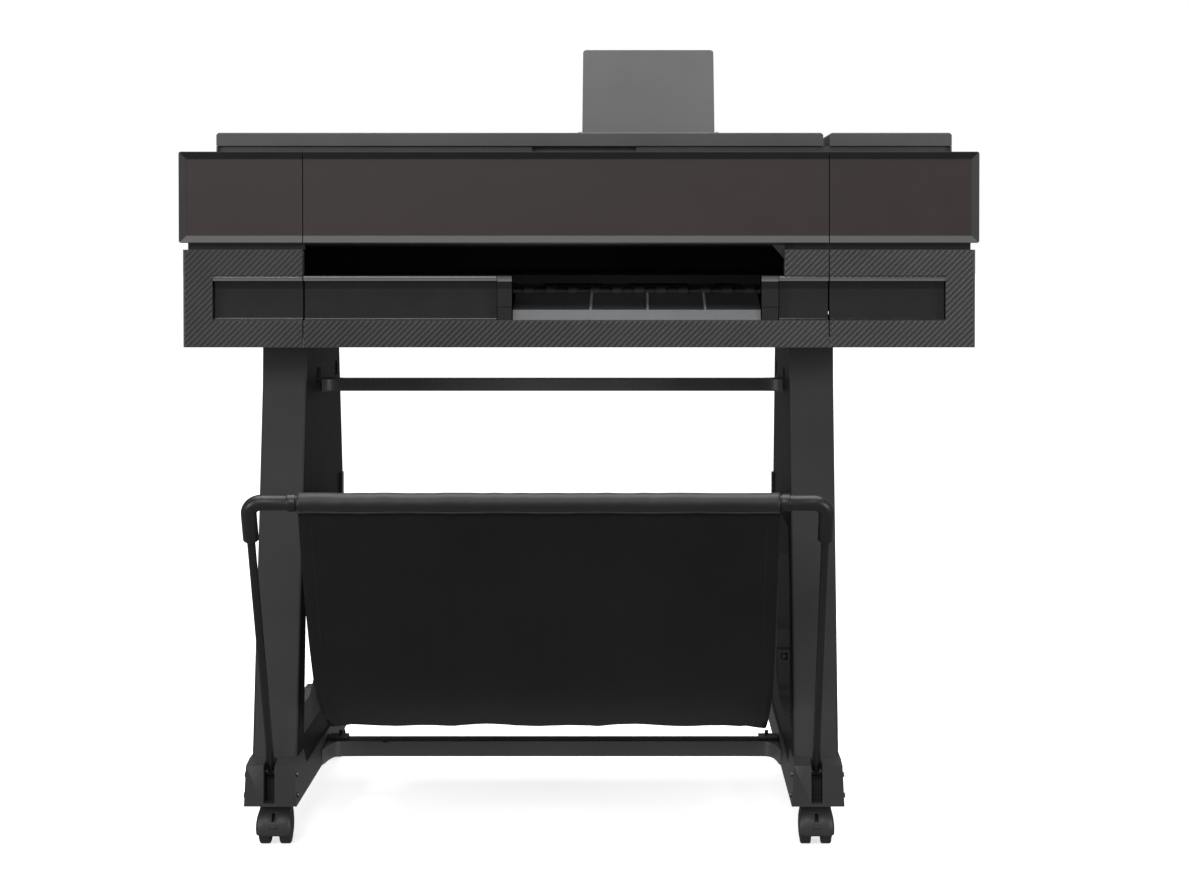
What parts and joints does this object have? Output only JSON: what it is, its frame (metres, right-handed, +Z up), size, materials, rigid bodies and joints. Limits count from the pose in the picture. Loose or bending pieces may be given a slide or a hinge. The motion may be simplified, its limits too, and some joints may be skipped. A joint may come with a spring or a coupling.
{
  "type": "large format plotter",
  "caption": "Roll-fed large format plotter with a wide head, output slot, top sheet support and a wheeled stand that carries a cloth media basket.",
  "frame": {"origin": "bottom centre of the whole object's box, on the floor", "axes": "+X to the plotter's right seen from the front, +Y to the back, +Z up"},
  "size_m": [1.013, 0.775, 1.0444],
  "materials": {
    "head_plastic": "fine textured dark grey",
    "fascia_plastic": "satin, warm dark grey",
    "lower_plastic": "dark grey with a ridged pattern",
    "gloss_black": "gloss black",
    "black_plastic": "matt black",
    "tray_grey": "satin mid grey",
    "screen_glass": "gloss screen",
    "steel": "brushed",
    "zinc_sheet": "zinc plated sheet",
    "stand_paint": "fine textured dark grey paint",
    "tube_paint": "satin black paint",
    "basket_cloth": "woven black polyester",
    "belt_rubber": "matt",
    "roller_rubber": "matt",
    "caster_plastic": "satin black",
    "caster_tread": "matt",
    "board_green": "solder mask",
    "screw_steel": "black"
  },
  "bodies": {
    "root": {"base_tray": "zinc_sheet", "basket_fabric": "basket_cloth", "basket_rear_rod": "tube_paint", "drive_belts": "belt_rubber", "exit_ramp": "black_plastic", "gloss_panels": "gloss_black", "guide_rails": "steel", "ink_cartridges": "black_plastic", "left_foot": "stand_paint", "left_leg": "stand_paint", "left_top_cover": "head_plastic", "lower_crossbar": "stand_paint", "lower_front_left": "lower_plastic", "lower_front_mid": "lower_plastic", "lower_front_right": "lower_plastic", "main_board": "board_green", "motors": "zinc_sheet", "neck_band": "black_plastic", "output_guides": "gloss_black", "platen": "black_plastic", "power_supply": "zinc_sheet", "rear_cover": "head_plastic", "right_foot": "stand_paint", "right_leg": "stand_paint", "right_rear_cover": "head_plastic", "right_top_cover": "fascia_plastic", "roll_bay": "black_plastic", "service_station": "black_plastic", "side_frames": "zinc_sheet", "stand_screws": "screw_steel", "tray_lip": "tray_grey", "upper_crossbar": "stand_paint"},
    "ink_door": {"ink_door": "fascia_plastic"},
    "top_cover": {"top_cover": "fascia_plastic"},
    "roll_cover": {"roll_cover": "head_plastic"},
    "sheet_support": {"sheet_support": "head_plastic"},
    "control_panel": {"control_panel": "gloss_black", "touchscreen": "screen_glass"},
    "power_button": {"power_button": "head_plastic"},
    "carriage": {"carriage": "black_plastic", "printhead": "black_plastic"},
    "scan_pulley": {"scan_pulley": "steel"},
    "idler_pulley": {"idler_pulley": "steel"},
    "feed_roller": {"feed_roller": "roller_rubber"},
    "motor_pulley": {"motor_pulley": "steel"},
    "pinch_rollers": {"pinch_rollers": "roller_rubber"},
    "exit_roller": {"exit_roller": "roller_rubber"},
    "cutter": {"cutter": "black_plastic"},
    "spindle": {"spindle": "black_plastic"},
    "basket": {"basket_bar": "tube_paint", "basket_arms": "tube_paint", "basket_hem": "basket_cloth"},
    "swivel_front_left": {"caster_hood_front_left": "caster_plastic"},
    "wheels_front_left": {"caster_wheels_front_left": "caster_tread"},
    "swivel_front_right": {"caster_hood_front_right": "caster_plastic"},
    "wheels_front_right": {"caster_wheels_front_right": "caster_tread"},
    "swivel_rear_left": {"caster_hood_rear_left": "caster_plastic"},
    "wheels_rear_left": {"caster_wheels_rear_left": "caster_tread"},
    "swivel_rear_right": {"caster_hood_rear_right": "caster_plastic"},
    "wheels_rear_right": {"caster_wheels_rear_right": "caster_tread"}
  },
  "joints": [
    {"name": "ink_door_hinge", "type": "hinge", "parent": "root", "child": "ink_door", "pos_m": [-0.428, -0.1568, 0.7661], "axis": [1, 0, 0], "range_deg": [0, 80]},
    {"name": "top_cover_hinge", "type": "hinge", "parent": "root", "child": "top_cover", "pos_m": [-0.017, 0.104, 0.87], "axis": [1, 0, 0], "range_deg": [-65, 0]},
    {"name": "roll_cover_hinge", "type": "hinge", "parent": "root", "child": "roll_cover", "pos_m": [-0.088, 0.2766, 0.896], "axis": [1, 0, 0], "range_deg": [-75, 0]},
    {"name": "sheet_support_hinge", "type": "hinge", "parent": "roll_cover", "child": "sheet_support", "pos_m": [0.089, 0.256, 0.9187], "axis": [1, 0, 0], "range_deg": [0, 112]},
    {"name": "control_panel_tilt", "type": "hinge", "parent": "root", "child": "control_panel", "pos_m": [0.413, -0.141, 0.8735], "axis": [1, 0, 0], "range_deg": [0, 60]},
    {"name": "power_button_press", "type": "slide", "parent": "root", "child": "power_button", "axis": [0, 0, -1], "range_m": [0, 0.0025], "stiffness_N_per_m": 250},
    {"name": "carriage_scan", "type": "slide", "parent": "root", "child": "carriage", "axis": [1, 0, 0], "range_m": [-0.77, 0]},
    {"name": "scan_pulley_spin", "type": "hinge", "parent": "root", "child": "scan_pulley", "pos_m": [0.458, 0.069, 0.806], "axis": [0, 0, 1], "continuous": true},
    {"name": "idler_pulley_spin", "type": "hinge", "parent": "root", "child": "idler_pulley", "pos_m": [-0.422, 0.069, 0.806], "axis": [0, 0, 1], "continuous": true},
    {"name": "feed_roller_spin", "type": "hinge", "parent": "root", "child": "feed_roller", "pos_m": [0, 0.029, 0.6949], "axis": [1, 0, 0], "continuous": true},
    {"name": "motor_pulley_spin", "type": "hinge", "parent": "root", "child": "motor_pulley", "pos_m": [-0.456, 0.104, 0.676], "axis": [1, 0, 0], "continuous": true},
    {"name": "pinch_rollers_spin", "type": "hinge", "parent": "root", "child": "pinch_rollers", "pos_m": [0, 0.029, 0.71096], "axis": [1, 0, 0], "continuous": true},
    {"name": "exit_roller_spin", "type": "hinge", "parent": "root", "child": "exit_roller", "pos_m": [0, -0.055, 0.699], "axis": [1, 0, 0], "continuous": true},
    {"name": "cutter_travel", "type": "slide", "parent": "root", "child": "cutter", "axis": [1, 0, 0], "range_m": [-0.7, 0]},
    {"name": "spindle_spin", "type": "hinge", "parent": "root", "child": "spindle", "pos_m": [-0.039, 0.192, 0.822], "axis": [1, 0, 0], "continuous": true},
    {"name": "basket_fold", "type": "hinge", "parent": "root", "child": "basket", "pos_m": [-0.0426, -0.196, 0.097], "axis": [1, 0, 0], "range_deg": [-26, 0]},
    {"name": "swivel_front_left_turn", "type": "hinge", "parent": "root", "child": "swivel_front_left", "pos_m": [-0.3851, -0.15, 0.06], "axis": [0, 0, 1], "continuous": true},
    {"name": "wheels_front_left_roll", "type": "hinge", "parent": "swivel_front_left", "child": "wheels_front_left", "pos_m": [-0.3851, -0.166, 0.025], "axis": [1, 0, 0], "continuous": true},
    {"name": "swivel_front_right_turn", "type": "hinge", "parent": "root", "child": "swivel_front_right", "pos_m": [0.2999, -0.15, 0.06], "axis": [0, 0, 1], "continuous": true},
    {"name": "wheels_front_right_roll", "type": "hinge", "parent": "swivel_front_right", "child": "wheels_front_right", "pos_m": [0.2999, -0.166, 0.025], "axis": [1, 0, 0], "continuous": true},
    {"name": "swivel_rear_left_turn", "type": "hinge", "parent": "root", "child": "swivel_rear_left", "pos_m": [-0.3851, 0.344, 0.06], "axis": [0, 0, 1], "continuous": true},
    {"name": "wheels_rear_left_roll", "type": "hinge", "parent": "swivel_rear_left", "child": "wheels_rear_left", "pos_m": [-0.3851, 0.36, 0.025], "axis": [1, 0, 0], "continuous": true},
    {"name": "swivel_rear_right_turn", "type": "hinge", "parent": "root", "child": "swivel_rear_right", "pos_m": [0.2999, 0.344, 0.06], "axis": [0, 0, 1], "continuous": true},
    {"name": "wheels_rear_right_roll", "type": "hinge", "parent": "swivel_rear_right", "child": "wheels_rear_right", "pos_m": [0.2999, 0.36, 0.025], "axis": [1, 0, 0], "continuous": true}
  ],
  "couplings": [
    {"joint": "scan_pulley_spin", "follows": "carriage_scan", "rad_per_m": 99.01},
    {"joint": "idler_pulley_spin", "follows": "carriage_scan", "rad_per_m": 99.01},
    {"joint": "motor_pulley_spin", "follows": "feed_roller_spin", "ratio": 1},
    {"joint": "pinch_rollers_spin", "follows": "feed_roller_spin", "ratio": -2.2},
    {"joint": "exit_roller_spin", "follows": "feed_roller_spin", "ratio": 1.6923}
  ]
}
